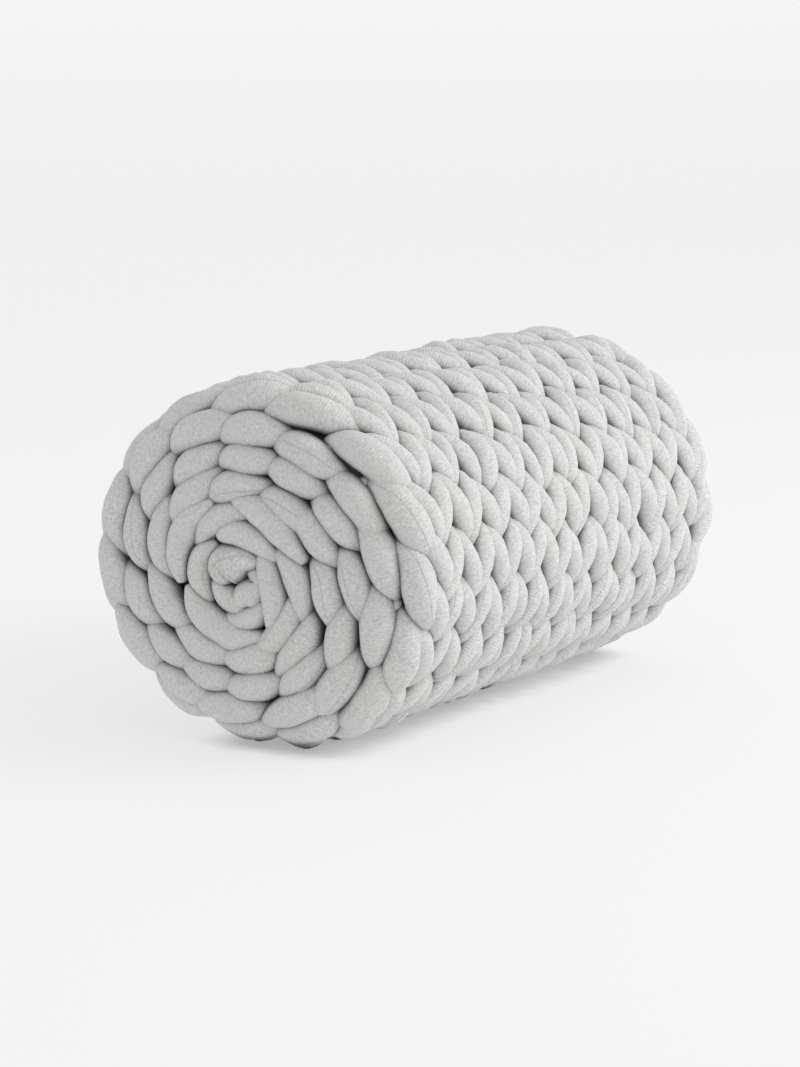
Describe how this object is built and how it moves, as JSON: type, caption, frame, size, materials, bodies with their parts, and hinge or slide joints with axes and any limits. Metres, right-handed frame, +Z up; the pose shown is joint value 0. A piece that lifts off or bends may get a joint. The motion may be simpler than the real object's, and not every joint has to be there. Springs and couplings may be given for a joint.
{
  "type": "rolled weighted blanket",
  "caption": "Chunky knitted weighted blanket, doubled and wound into a soft oval roll that lies on its side, with ribbed outside and spiral ends.",
  "frame": {"origin": "middle of the roll's footprint, on the floor plane", "axes": "+X along the roll's axis, +Z up, -Y towards the side without the lapped free edge"},
  "size_m": [0.64, 0.386, 0.3535],
  "materials": {
    "grey_jersey": "matt heather grey cotton jersey over a filled cord, knitted plain"
  },
  "bodies": {
    "root": {"blanket_roll": "grey_jersey"}
  },
  "joints": []
}
